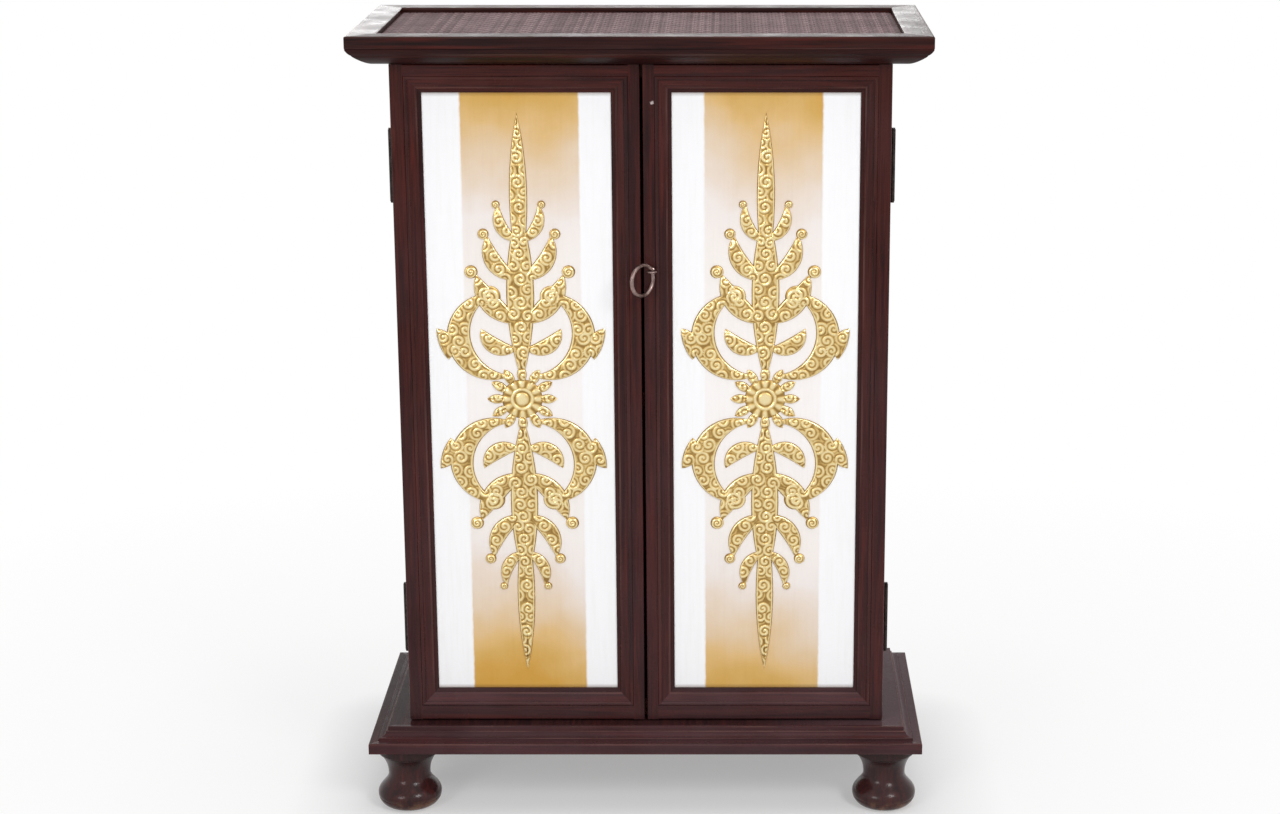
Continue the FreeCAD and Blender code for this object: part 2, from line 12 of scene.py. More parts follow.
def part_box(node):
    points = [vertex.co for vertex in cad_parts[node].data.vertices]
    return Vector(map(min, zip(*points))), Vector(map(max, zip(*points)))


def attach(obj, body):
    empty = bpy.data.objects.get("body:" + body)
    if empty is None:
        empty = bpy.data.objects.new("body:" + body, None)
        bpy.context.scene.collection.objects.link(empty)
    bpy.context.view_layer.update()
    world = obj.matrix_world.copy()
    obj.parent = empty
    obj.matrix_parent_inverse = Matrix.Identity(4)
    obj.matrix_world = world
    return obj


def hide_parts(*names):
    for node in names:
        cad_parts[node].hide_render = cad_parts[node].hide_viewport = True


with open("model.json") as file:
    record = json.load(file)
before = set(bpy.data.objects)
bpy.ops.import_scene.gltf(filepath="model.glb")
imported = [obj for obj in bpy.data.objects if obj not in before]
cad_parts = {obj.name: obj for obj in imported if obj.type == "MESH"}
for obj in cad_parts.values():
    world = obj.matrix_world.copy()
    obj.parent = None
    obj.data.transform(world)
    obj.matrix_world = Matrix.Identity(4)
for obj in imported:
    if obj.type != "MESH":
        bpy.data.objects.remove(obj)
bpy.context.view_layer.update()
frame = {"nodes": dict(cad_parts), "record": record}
nodes = frame["nodes"]
bodies = frame["record"]["behaviour"]["bodies"]
bodyOfNode = {node: body for body, names in bodies.items() for node in names}
scene = bpy.context.scene
scene.view_settings.view_transform = "Standard"
mm = 0.001
print("frame:", len(nodes), "nodes")

# camera in front of the cabinet and a little above it
cameraSetup = {"place": (0.0890, -2.8036, 1.18675), "tilt": 74.837, "lens": 73.679, "shiftX": -0.06797}

cameraData = bpy.data.cameras.new("viewCamera")
cameraData.lens = cameraSetup["lens"]
cameraData.shift_x = cameraSetup["shiftX"]
camera = bpy.data.objects.new("viewCamera", cameraData)
camera.location = cameraSetup["place"]
camera.rotation_euler = (math.radians(cameraSetup["tilt"]), 0, 0)
scene.collection.objects.link(camera)
scene.camera = camera
print("camera: ready")


# small helpers for pieces; faces that meet at less than the smooth angle, in degrees, are shaded as one
def boxOf(node):
    low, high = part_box(node)
    return Vector(low), Vector(high)


def newObject(name, bm, materials, smoothAngle=None):
    mesh = bpy.data.meshes.new(name)
    bm.to_mesh(mesh)
    bm.free()
    for material in materials:
        mesh.materials.append(material)
    piece = bpy.data.objects.new(name, mesh)
    scene.collection.objects.link(piece)
    if smoothAngle is not None:
        mesh.shade_smooth()
        mesh.set_sharp_from_angle(angle=math.radians(smoothAngle))
    return piece


def standFor(piece, node):
    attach(piece, bodyOfNode[node])
    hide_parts(node)


def shellsOf(bm):
    # groups of faces that hang together
    waiting = dict.fromkeys(bm.faces)
    while waiting:
        shell = [waiting.popitem()[0]]
        for face in shell:
            beside = [other for edge in face.edges for other in edge.link_faces if other in waiting]
            for other in dict.fromkeys(beside):
                del waiting[other]
                shell.append(other)
        yield shell


def faceOutward(bm):
    # a closed shell that points inwards measures less than nothing, and is turned over
    bmesh.ops.recalc_face_normals(bm, faces=bm.faces)
    bm.normal_update()
    for shell in list(shellsOf(bm)):
        if sum(face.calc_center_median().dot(face.normal) * face.calc_area() for face in shell) < 0:
            bmesh.ops.reverse_faces(bm, faces=shell)


def finishPiece(name, bm, materials, smoothAngle, node):
    faceOutward(bm)
    standFor(newObject(name, bm, materials, smoothAngle), node)


def ofKind(items, kind):
    return [item for item in items if isinstance(item, kind)]


joinWithin = 0.001 * mm
sweepPoints = 21


def spinRound(bm, geom, centre, axis, steps):
    bmesh.ops.spin(bm, geom=geom, cent=centre, axis=axis, angle=math.tau, steps=steps, use_merge=True)
    bmesh.ops.remove_doubles(bm, verts=bm.verts, dist=joinWithin)


def spinOutline(bm, points, centre, axis, steps):
    line = [bm.verts.new(point) for point in points]
    edges = [bm.edges.new(pair) for pair in zip(line, line[1:])]
    spinRound(bm, line + edges, centre, axis, steps)


def sweep(*poles):
    # points of a curve that starts and ends at the outer poles and leans to the inner two
    curve = interpolate_bezier(*[Vector((*pole, 0)) for pole in poles], sweepPoints)
    return [tuple(point[:2]) for point in curve]


# small helpers for materials
noiseSpan = (0.3, 0.7)  # where nearly all values of a noise lie


def tone(red, green, blue):  # a colour as it looks, 0 to 255, made linear
    shares = [part / 255 for part in (red, green, blue)]
    linear = [part / 12.92 if part <= 0.04045 else ((part + 0.055) / 1.055) ** 2.4 for part in shares]
    return (*linear, 1.0)


def addNode(tree, kind, inputs=None, **settings):
    node = tree.nodes.new(kind)
    for key, value in settings.items():
        setattr(node, key, value)
    for key, value in (inputs or {}).items():
        if isinstance(value, bpy.types.NodeSocket):
            tree.links.new(value, node.inputs[key])
        else:
            node.inputs[key].default_value = value
    return node


def makeMaterial(name, shine=0.5, metallic=0.0):
    material = bpy.data.materials.new(name)
    material.use_nodes = True
    tree = material.node_tree
    shader = tree.nodes["Principled BSDF"]
    shader.inputs["Specular IOR Level"].default_value = shine
    shader.inputs["Metallic"].default_value = metallic
    return material, tree, shader


def dress(tree, shader, colour, roughness, normal):
    for socket, value in (("Base Color", colour), ("Roughness", roughness), ("Normal", normal)):
        tree.links.new(value, shader.inputs[socket])


def objectCoords(tree):
    return addNode(tree, "ShaderNodeTexCoord").outputs["Object"]


def axes(tree, place):
    return addNode(tree, "ShaderNodeSeparateXYZ", {0: place}).outputs


def mapped(tree, place, scale=(1, 1, 1), shift=(0, 0, 0)):
    inputs = {"Vector": place, "Scale": scale, "Location": shift}
    return addNode(tree, "ShaderNodeMapping", inputs).outputs[0]


def alongGrain(tree, place, along, stretch):
    scale = [1.0, 1.0, 1.0]
    scale[along] = stretch
    return mapped(tree, place, scale)


def noise(tree, place, scale, detail=4.0, roughness=0.55, distortion=0.0):
    inputs = {"Vector": place, "Scale": scale, "Detail": detail}
    inputs.update({"Roughness": roughness, "Distortion": distortion})
    return addNode(tree, "ShaderNodeTexNoise", inputs).outputs[0]


def calc(tree, operation, first, second=0.0):
    return addNode(tree, "ShaderNodeMath", {0: first, 1: second}, operation=operation).outputs[0]


def spread(tree, value, low, high, toLow=0.0, toHigh=1.0):
    inputs = {"Value": value, "From Min": low, "From Max": high, "To Min": toLow, "To Max": toHigh}
    return addNode(tree, "ShaderNodeMapRange", inputs).outputs[0]


def pattern(tree, place, settings):
    # noise scale, detail and roughness, then its low and high and what they become, or nought to one
    texture, shares = settings
    return spread(tree, noise(tree, place, *texture), *shares)


def ramp(tree, value, stops):
    node = addNode(tree, "ShaderNodeValToRGB", {0: value})
    elements = node.color_ramp.elements
    while len(elements) < len(stops):
        elements.new(0.5)
    for element, (place, colour) in zip(elements, stops):
        element.position = place
        element.color = colour
    return node.outputs[0]


def blend(tree, share, first, second, mode="MIX"):
    inputs = {0: share, 6: first, 7: second}
    return addNode(tree, "ShaderNodeMix", inputs, data_type="RGBA", blend_type=mode).outputs[2]


def attribute(tree, name):
    return addNode(tree, "ShaderNodeAttribute", attribute_name=name).outputs["Fac"]


def bump(tree, height, distance, strength=1.0):
    inputs = {"Height": height, "Distance": distance, "Strength": strength}
    return addNode(tree, "ShaderNodeBump", inputs).outputs[0]


# floor, studio light and white surroundings
stageSetup = {
    "floorSize": 14.0,
    "floorDrop": 0.3 * mm,
    "floorColour": (0.9, 0.9, 0.9, 1),
    "floorRoughness": 0.8,
    "floorShine": 0.1,
    "footprint": (0.30, 0.143),
    "whiteShares": ((0.0, 0.33), (0.10, 0.78), (0.35, 0.88), (1.0, 1.0)),  # metres off the footprint, share
    "white": (1, 1, 1, 1),
    "ambient": 0.45,
    "aim": (0, 0, 0.43),
    "lamps": {  # place, size, watts
        "keyLamp": ((1.5, -2.3, 2.0), (0.8, 0.8), 31),
        "fillLamp": ((-1.5, -2.4, 1.2), (0.8, 0.8), 17),
        "topLamp": ((0.3, -0.3, 2.9), (1.8, 1.8), 18),
        "backLamp": ((-0.52, 5.0, 1.4), (2.4, 0.6), 17),
    },
}


def cameraLikeRays(tree):
    path = addNode(tree, "ShaderNodeLightPath").outputs
    seen = calc(tree, "MAXIMUM", path["Is Camera Ray"], path["Is Glossy Ray"])
    return calc(tree, "MAXIMUM", seen, path["Is Transmission Ray"])


def mixInto(tree, output, share, first, second):
    mix = addNode(tree, "ShaderNodeMixShader", {0: share, 1: first, 2: second})
    tree.links.new(mix.outputs[0], tree.nodes[output].inputs["Surface"])


def makeFloor(setup):
    bm = bmesh.new()
    bmesh.ops.create_grid(bm, x_segments=1, y_segments=1, size=setup["floorSize"] / 2)
    bmesh.ops.translate(bm, verts=bm.verts, vec=(0, 0, -setup["floorDrop"]))
    material, tree, shader = makeMaterial("paleFloor", setup["floorShine"])
    shader.inputs["Base Color"].default_value = setup["floorColour"]
    shader.inputs["Roughness"].default_value = setup["floorRoughness"]
    parts = axes(tree, objectCoords(tree))
    beside = []
    for axis, half in zip("XY", setup["footprint"]):
        outside = calc(tree, "SUBTRACT", calc(tree, "ABSOLUTE", parts[axis]), half)
        beside.append(calc(tree, "POWER", calc(tree, "MAXIMUM", outside, 0.0), 2.0))
    away = calc(tree, "SQRT", calc(tree, "ADD", *beside))
    fade = ramp(tree, away, [(place, (share, share, share, 1)) for place, share in setup["whiteShares"]])
    share = calc(tree, "MULTIPLY", fade, cameraLikeRays(tree))
    white = addNode(tree, "ShaderNodeEmission", {"Color": setup["white"]}).outputs[0]
    mixInto(tree, "Material Output", share, shader.outputs[0], white)
    newObject("paleFloor", bm, [material])


def makeWorld(setup):
    world = bpy.data.worlds.new("studio")
    world.use_nodes = True
    scene.world = world
    tree = world.node_tree
    ambient = tree.nodes["Background"]
    ambient.inputs["Strength"].default_value = setup["ambient"]
    ambient.inputs["Color"].default_value = setup["white"]
    backdrop = addNode(tree, "ShaderNodeBackground", {"Color": setup["white"], "Strength": 1.0}).outputs[0]
    mixInto(tree, "World Output", cameraLikeRays(tree), ambient.outputs[0], backdrop)


def makeLamps(setup):
    for name, (place, size, watts) in setup["lamps"].items():
        light = bpy.data.lights.new(name, "AREA")
        light.shape = "RECTANGLE"
        light.size, light.size_y = size
        light.energy = watts
        lamp = bpy.data.objects.new(name, light)
        lamp.location = place
        lamp.rotation_euler = (Vector(setup["aim"]) - Vector(place)).to_track_quat("-Z", "Y").to_euler()
        lamp.visible_camera = False
        scene.collection.objects.link(lamp)


makeFloor(stageSetup)
makeWorld(stageSetup)
makeLamps(stageSetup)
print("stage: floor and lamps")

# dark red-brown lacquer on wood: streaked grain, fine pores, edges rubbed paler; a haze of dust with
# painted sheen, and painted shade in creases and under the plinth
lacquerLook = {
    "stops": (
        (0.32, tone(30, 9, 9)),
        (0.46, tone(53, 20, 17)),
        (0.55, tone(67, 28, 23)),
        (0.62, tone(50, 18, 15)),
        (0.74, tone(88, 42, 33)),
    ),
    "red": tone(98, 37, 29),
    "pore": tone(22, 7, 7),
    "dustSheen": tone(92, 70, 75),
    "worn": tone(118, 88, 82),
    "paintedShade": tone(26, 10, 10),
    "footWorn": tone(122, 88, 66),
    "chip": tone(176, 162, 160),
    "stretch": 0.035,
    "streaks": (95.0, 6.0, 0.6, 0.7),  # scale, detail, roughness, distortion
    "threads": ((161.5, 3.0, 0.5), (0.55, 0.70, 0.0, 0.34)),
    "threadShift": (3, 5, 7),
    "pores": ((620.0, 2.0, 0.5), (0.56, 0.70, 0.0, 0.55)),
    "clouds": ((9.0, 3.0), (0.35, 0.75)),
    "scuffs": ((210.0, 4.0, 0.65), (0.42, 0.66)),
    "smudges": (26.0, 4.0, 0.6),
    "lowSheen": (0.70, 0.25, 0.0, 0.9),  # heights, shares
    "rightSheen": (0.10, 0.26),  # places across
    "wornShare": 0.75,
    "paintedShadeShares": (0.0, -1.0, 0.0, 0.8),
    "shadeUnderPlinth": (40 * mm, 60 * mm, 0.0, 0.6),
    "footLow": (2 * mm, 15 * mm, 1.0, 0.0),
    "footPatches": ((60.0, 4.0, 0.6), (0.46, 0.62)),
    "chipPlace": Vector((11.5, -107.0, 781.7)) * mm,
    "chipRadius": 1.9 * mm,
    "chipSoft": 0.5 * mm,
    "chipEdge": ((700.0, 3.0), (*noiseSpan, -mm, mm)),
    "grainHeight": 0.6,
    "poreDepth": 0.5,
    "bump": (0.25 * mm, 0.6),  # depth, strength
}


def lacquer(name, along, depth=1.0, shine=0.115, gloss=(0.20, 0.34), dustSheenShare=0.16, rightSheenShare=0.0,
            worn=False, chipped=False):
    look = lacquerLook
    material, tree, shader = makeMaterial(name, shine)
    place = objectCoords(tree)
    parts = axes(tree, place)
    lay = alongGrain(tree, place, along, look["stretch"])
    streaks = noise(tree, lay, *look["streaks"])
    colour = ramp(tree, streaks, [(stop, Vector(shade) * depth) for stop, shade in look["stops"]])
    threads = pattern(tree, mapped(tree, lay, shift=look["threadShift"]), look["threads"])
    colour = blend(tree, threads, colour, look["red"])
    pores = pattern(tree, lay, look["pores"])
    colour = blend(tree, pores, colour, look["pore"])
    # lilac-grey haze: clouds of dust, and painted sheen that grows towards the bottom
    low = spread(tree, parts["Z"], *look["lowSheen"])
    dustSheen = calc(tree, "ADD", pattern(tree, place, look["clouds"]), low)
    dustSheen = calc(tree, "MULTIPLY", dustSheen, dustSheenShare)
    # the right side is painted paler still, as a painted reflection
    if rightSheenShare:
        dustSheen = calc(tree, "ADD", dustSheen, spread(tree, parts["X"], *look["rightSheen"], 0.0, rightSheenShare))
    colour = blend(tree, dustSheen, colour, look["dustSheen"])
    rubbed = attribute(tree, "wear")  # above nought rubbed pale, below it painted shade in creases and hollows
    wear = calc(tree, "MULTIPLY", rubbed, pattern(tree, lay, look["scuffs"]))
    colour = blend(tree, calc(tree, "MULTIPLY", wear, look["wornShare"]), colour, look["worn"])
    colour = blend(tree, spread(tree, rubbed, *look["paintedShadeShares"]), colour, look["paintedShade"])
    if worn:  # turned feet get painted shade under the plinth and lose their lacquer near the floor
        colour = blend(tree, spread(tree, parts["Z"], *look["shadeUnderPlinth"]), colour, look["paintedShade"])
        patches = pattern(tree, place, look["footPatches"])
        bare = calc(tree, "MULTIPLY", spread(tree, parts["Z"], *look["footLow"]), patches)
        colour = blend(tree, bare, colour, look["footWorn"])
    if chipped:
        ends = {0: place, 1: look["chipPlace"]}
        away = addNode(tree, "ShaderNodeVectorMath", ends, operation="DISTANCE").outputs["Value"]
        ragged = calc(tree, "ADD", away, pattern(tree, place, look["chipEdge"]))
        radius = look["chipRadius"]
        inside = spread(tree, ragged, radius - look["chipSoft"], radius, 1.0, 0.0)
        colour = blend(tree, inside, colour, look["chip"])
    roughness = spread(tree, noise(tree, place, *look["smudges"]), *noiseSpan, *gloss)
    raised = calc(tree, "MULTIPLY", streaks, look["grainHeight"])
    relief = calc(tree, "SUBTRACT", raised, calc(tree, "MULTIPLY", pores, look["poreDepth"]))
    dress(tree, shader, colour, roughness, bump(tree, relief, *look["bump"]))
    return material


lacquerX = lacquer("lacquerAcross", 0)
lacquerZ = lacquer("lacquerUpright", 2, depth=0.95, dustSheenShare=0.13, chipped=True)
# the top's two copies and the plinth's deep copy are darkened through depth as painted shade
lacquerTopX = lacquer("lacquerTopAcross", 0, depth=0.52, shine=0.105, gloss=(0.32, 0.44), dustSheenShare=0.04)
lacquerTopY = lacquer("lacquerTopDeep", 1, depth=0.52, shine=0.13, gloss=(0.22, 0.34), dustSheenShare=0.04)
lacquerBaseX = lacquer("lacquerBaseAcross", 0, shine=0.06, dustSheenShare=0.28)
lacquerBaseY = lacquer("lacquerBaseDeep", 1, depth=0.65, shine=0.02, dustSheenShare=0.12, rightSheenShare=0.62)
lacquerFoot = lacquer("lacquerTurned", 2, depth=0.75, shine=0.22, gloss=(0.15, 0.25), dustSheenShare=0.1, worn=True)
lacquerSill = lacquer("lacquerSill", 0, dustSheenShare=0.28)

# plain stained wood of the boards, the shelf and the back
stainLook = {
    "stops": (
        (0.3, tone(74, 42, 28)),
        (0.5, tone(104, 62, 41)),
        (0.62, tone(92, 53, 34)),
        (0.8, tone(122, 77, 51)),
    ),
    "pore": tone(48, 25, 16),
    "poreShare": 0.6,
    "shine": 0.3,
    "stretch": 0.04,
    "streaks": (70.0, 6.0, 0.6, 0.9),
    "pores": ((700.0, 2.0), (0.56, 0.7)),
    "roughness": (0.5, 0.66),
    "bump": (0.2 * mm, 0.5),
}


def stained(name, along):
    look = stainLook
    material, tree, shader = makeMaterial(name, look["shine"])
    lay = alongGrain(tree, objectCoords(tree), along, look["stretch"])
    streaks = noise(tree, lay, *look["streaks"])
    pores = pattern(tree, lay, look["pores"])
    colour = ramp(tree, streaks, look["stops"])
    colour = blend(tree, calc(tree, "MULTIPLY", pores, look["poreShare"]), colour, look["pore"])
    roughness = spread(tree, streaks, *noiseSpan, *look["roughness"])
    relief = calc(tree, "SUBTRACT", streaks, pores)
    dress(tree, shader, colour, roughness, bump(tree, relief, *look["bump"]))
    return material


stainedX = stained("stainedAcross", 0)
stainedZ = stained("stainedUpright", 2)

# white painted panel with an airbrushed ochre band, painted shade along its top and bottom edges, plain
# wood behind
panelLook = {
    "white": tone(247, 247, 249),
    "shine": 0.25,
    "mouldingWidth": 18 * mm,
    "bandMiddle": 127.15 * mm,
    "bandHalf": 61.85 * mm,
    "edgeSoft": 1.1 * mm,
    "edgeWobble": ((120.0, 2.0), (*noiseSpan, -0.3 * mm, 0.3 * mm)),
    "fade": (  # from the middle of the panel to its ends
        (0.0, tone(244, 240, 239)),
        (0.40, tone(241, 235, 231)),
        (0.55, tone(237, 229, 225)),
        (0.66, tone(230, 214, 199)),
        (0.76, tone(224, 198, 164)),
        (0.85, tone(221, 184, 126)),
        (0.92, tone(212, 170, 96)),
        (1.0, tone(206, 156, 68)),
    ),
    "fadeRise": 0.035,
    "lean": {  # door and end: how far the fade tilts to the right, and its shift
        (-1, -1): (-0.045, 0.0),
        (-1, 1): (-0.04, 0.01),
        (1, -1): (-0.035, -0.08),
        (1, 1): (0.05, 0.0),
    },
    "drift": ((14.0, 4.0, 0.5), (*noiseSpan, -0.06, 0.06)),
    "sag": -0.03,
    "strokeStretch": 0.05,
    "strokes": (320.0, 3.0, 0.6),
    "strokeShares": (0.45, 0.75, 0.0, 0.10),
    "strokeTone": tone(226, 218, 210),
    "edgeShade": tone(98, 64, 38),
    "edgeShadeWidth": 4.5 * mm,
    "edgeShadeShare": 0.6,
    "paintDepth": 0.5 * mm,
    "roughness": (0.42, 0.56),
    "bump": (0.12 * mm, 0.5),
}


def fadeUpward(tree, look, place, parts, sideways, middleZ, halfZ):
    # share of the way from the middle of the panel to its ends, leaning and uneven as sprayed paint is
    half = look["bandHalf"]
    doorMiddle = calc(tree, "MULTIPLY", calc(tree, "SIGN", parts["X"]), look["bandMiddle"])
    tilt = calc(tree, "DIVIDE", calc(tree, "SUBTRACT", parts["X"], doorMiddle), half)
    upward = calc(tree, "SUBTRACT", parts["Z"], middleZ + look["fadeRise"] * halfZ)
    upward = calc(tree, "DIVIDE", calc(tree, "ABSOLUTE", upward), halfZ)
    rise = calc(tree, "SUBTRACT", parts["Z"], middleZ)
    for (door, end), (slope, shift) in look["lean"].items():
        onDoor = calc(tree, "GREATER_THAN", calc(tree, "MULTIPLY", parts["X"], door), 0.0)
        atEnd = calc(tree, "GREATER_THAN", calc(tree, "MULTIPLY", rise, end), 0.0)
        lean = calc(tree, "ADD", calc(tree, "MULTIPLY", tilt, slope), shift)
        lean = calc(tree, "MULTIPLY", calc(tree, "MULTIPLY", onDoor, atEnd), lean)
        upward = calc(tree, "ADD", upward, lean)
    upward = calc(tree, "ADD", upward, pattern(tree, place, look["drift"]))
    outward = calc(tree, "POWER", calc(tree, "DIVIDE", sideways, half), 2.0)
    return calc(tree, "ADD", upward, calc(tree, "MULTIPLY", outward, look["sag"]))


def paintedPanel(look):
    low, high = boxOf("right_door_panel_moulding")
    middleZ, halfZ = (low.z + high.z) / 2, (high.z - low.z) / 2 - look["mouldingWidth"]
    material, tree, shader = makeMaterial("paintedPanel", look["shine"])
    place = objectCoords(tree)
    parts = axes(tree, place)
    sideways = calc(tree, "SUBTRACT", calc(tree, "ABSOLUTE", parts["X"]), look["bandMiddle"])
    sideways = calc(tree, "ABSOLUTE", sideways)
    edge = calc(tree, "ADD", sideways, pattern(tree, place, look["edgeWobble"]))
    half, soft = look["bandHalf"], look["edgeSoft"]
    inBand = spread(tree, edge, half - soft, half + soft, 1.0, 0.0)
    upward = fadeUpward(tree, look, place, parts, sideways, middleZ, halfZ)
    colour = blend(tree, inBand, look["white"], ramp(tree, upward, look["fade"]))
    strokes = noise(tree, alongGrain(tree, place, 2, look["strokeStretch"]), *look["strokes"])
    shade = spread(tree, strokes, *look["strokeShares"])
    colour = blend(tree, shade, colour, look["strokeTone"], "MULTIPLY")
    # painted shade of the moulding, darkening the panel towards its top and bottom edges
    rise = calc(tree, "ABSOLUTE", calc(tree, "SUBTRACT", parts["Z"], middleZ))
    paintedShade = spread(tree, rise, halfZ - look["edgeShadeWidth"], halfZ, 0.0, look["edgeShadeShare"])
    colour = blend(tree, paintedShade, colour, look["edgeShade"])
    face = boxOf("right_door_panel")[0].y
    behind = calc(tree, "GREATER_THAN", parts["Y"], face + look["paintDepth"])
    streaks = noise(tree, alongGrain(tree, place, 2, stainLook["stretch"]), *stainLook["streaks"])
    colour = blend(tree, behind, colour, ramp(tree, streaks, stainLook["stops"]))
    roughness = spread(tree, strokes, *noiseSpan, *look["roughness"])
    dress(tree, shader, colour, roughness, bump(tree, strokes, *look["bump"]))
    return material


panelPaint = paintedPanel(panelLook)

# gilding over a chased ground: ridges painted bright as a highlight, hollows and leaf edges painted umber
# as shade
giltLook = {
    "stops": ((0.02, tone(152, 120, 68)), (0.34, tone(205, 172, 108)), (0.85, tone(238, 221, 172))),
    "patina": ((130.0, 4.0, 0.6), (*noiseSpan, -0.18, 0.18)),
    "grit": (900.0, 3.0, 0.6),
    "roughness": (0.0, 0.9, 0.46, 0.24),  # hollow and ridge, roughness of each
    "bump": (0.2 * mm, 0.35),
}


def gilding(look):
    material, tree, shader = makeMaterial("gilding", metallic=1.0)
    place = objectCoords(tree)
    # ridges painted bright as a highlight, hollows dark as painted shade
    lift = calc(tree, "ADD", attribute(tree, "chaseShading"), pattern(tree, place, look["patina"]))
    colour = ramp(tree, lift, look["stops"])
    grit = noise(tree, place, *look["grit"])
    dress(tree, shader, colour, spread(tree, lift, *look["roughness"]), bump(tree, grit, *look["bump"]))
    return material


gilt = gilding(giltLook)

# metals and moulded plastic
metalLook = {
    "stains": (5.0, 0.62, 0.4),  # detail, roughness, distortion
    "stainStops": (0.32, 0.66),
    "dulling": 0.12,
    "gritTimes": 8,
    "gritDetail": 3.0,
    "bump": (0.1 * mm, 0.3),
}


def metal(name, dark, pale, roughness, scale, metallic=1.0):
    look = metalLook
    material, tree, shader = makeMaterial(name, metallic=metallic)
    place = objectCoords(tree)
    stains = noise(tree, place, scale, *look["stains"])
    colour = ramp(tree, stains, list(zip(look["stainStops"], (dark, pale))))
    dull = spread(tree, stains, *noiseSpan, roughness + look["dulling"], roughness)
    grit = noise(tree, place, scale * look["gritTimes"], look["gritDetail"])
    dress(tree, shader, colour, dull, bump(tree, grit, *look["bump"]))
    return material


pullMetal = metal("pullMetal", tone(76, 58, 56), tone(164, 141, 137), 0.28, 120.0)
darkMetal = metal("darkMetal", tone(24, 18, 17), tone(62, 52, 48), 0.42, 150.0, 0.85)
steel = metal("zincSteel", tone(120, 120, 116), tone(172, 172, 166), 0.34, 240.0)
catchPlastic = metal("catchPlastic", tone(44, 29, 21), tone(58, 39, 29), 0.44, 300.0, 0.0)

# split cane of the mat, one tint for each strip
caneLook = {
    "stops": ((0.25, tone(66, 50, 52)), (0.5, tone(114, 93, 95)), (0.75, tone(157, 133, 135))),
    "pitch": 4.0 * mm,
    "shine": 0.12,
    "tint": 0.15,
    "stretch": 0.06,
    "fibres": (900.0, 3.0, 0.6),
    "fibreShare": 0.5,
    "dust": (18.0, 3.0),
    "dustShare": 0.25,
    "roughness": (0.55, 0.75),
    "bump": (0.15 * mm, 0.6),
}


def cane(name, along, varied):
    look = caneLook
    material, tree, shader = makeMaterial(name, look["shine"])
    place = objectCoords(tree)
    across = axes(tree, place)["XY"[1 - along]]
    strip = calc(tree, "FLOOR", calc(tree, "DIVIDE", across, look["pitch"]))
    tint = addNode(tree, "ShaderNodeTexWhiteNoise", {"W": strip}, noise_dimensions="1D").outputs["Value"]
    level = spread(tree, tint, 0.0, 1.0, look["tint"] - varied / 2, look["tint"] + varied / 2)
    fibres = noise(tree, alongGrain(tree, place, along, look["stretch"]), *look["fibres"])
    level = calc(tree, "ADD", level, calc(tree, "MULTIPLY", fibres, look["fibreShare"]))
    dust = noise(tree, place, *look["dust"])
    level = calc(tree, "ADD", level, calc(tree, "MULTIPLY", dust, look["dustShare"]))
    roughness = spread(tree, fibres, *noiseSpan, *look["roughness"])
    dress(tree, shader, ramp(tree, level, look["stops"]), roughness, bump(tree, fibres, *look["bump"]))
    return material


caneX = cane("caneAcross", 0, varied=0.12)
caneY = cane("caneDeep", 1, varied=0.34)
print("materials:", len(bpy.data.materials))

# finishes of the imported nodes, by the ends of their names
nodeFinishes = {
    "screws": steel, "strike_plate": steel, "pegs": steel, "catch": catchPlastic,
    "leaves": darkMetal, "pins": darkMetal, "pull_eye": pullMetal, "pull_ring": pullMetal,
    "door_panel": panelPaint, "gilt_relief": gilt, "woven_mat": caneX,
    "stile": lacquerZ, "side_panel": lacquerZ, "foot": lacquerFoot,
    "back_panel": stainedZ, "board": stainedX, "shelf": stainedX, "top_panel": stainedX,
}
for name, node in nodes.items():
    other = lacquerBaseY if name.startswith("plinth") else lacquerX
    finish = next((finish for ending, finish in nodeFinishes.items() if name.endswith(ending)), other)
    node.data.materials.clear()
    node.data.materials.append(finish)
print("finishes: set on the frame")

# mouldings: a section of (inward, up, wear) points in mm, drawn out and mitred; wear below nought is
# painted shade
roundHandle = 0.5523  # share of the way to the corner that makes a curve a quarter round
mouldingSmooth = {"edges": 35, "panels": 30}


def turnInto(start, corner, end, steps, wear=0.0):
    # a round or a hollow that leaves start and meets end along the lines to corner
    begin, middle, finish = (Vector((*point, 0)) for point in (start, corner, end))
    handles = begin.lerp(middle, roundHandle), finish.lerp(middle, roundHandle)
    return [(point.x, point.y, wear) for point in interpolate_bezier(begin, *handles, finish, steps)]


def mitredStrip(bm, section, length, matrix, slot=0):
    wear = bm.verts.layers.float.get("wear") or bm.verts.layers.float.new("wear")
    corners = []
    for inward, up, rubbed in section:
        vert = bm.verts.new((-length / 2, inward * mm, up * mm))
        vert[wear] = rubbed
        corners.append(vert)
    face = bm.faces.new(corners)
    drawn = bmesh.ops.extrude_face_region(bm, geom=[face])["geom"]
    far = ofKind(drawn, bmesh.types.BMVert)
    bmesh.ops.translate(bm, verts=far, vec=(length, 0, 0))
    verts = corners + far
    for side in (-1, 1):
        faces = list(dict.fromkeys(item for vert in verts for item in vert.link_faces))
        edges = list(dict.fromkeys(item for vert in verts for item in vert.link_edges))
        cut = bmesh.ops.bisect_plane(bm, geom=verts + edges + faces, plane_co=(side * length / 2, 0, 0),
                                     plane_no=(side, 1, 0), clear_outer=True)["geom_cut"]
        bmesh.ops.holes_fill(bm, edges=ofKind(cut, bmesh.types.BMEdge), sides=0)
        verts = [vert for vert in verts if vert.is_valid]
        verts += [item for item in ofKind(cut, bmesh.types.BMVert) if item not in verts]
    for item in {item for vert in verts for item in vert.link_faces}:
        item.material_index = slot
    bmesh.ops.transform(bm, matrix=matrix, verts=verts)


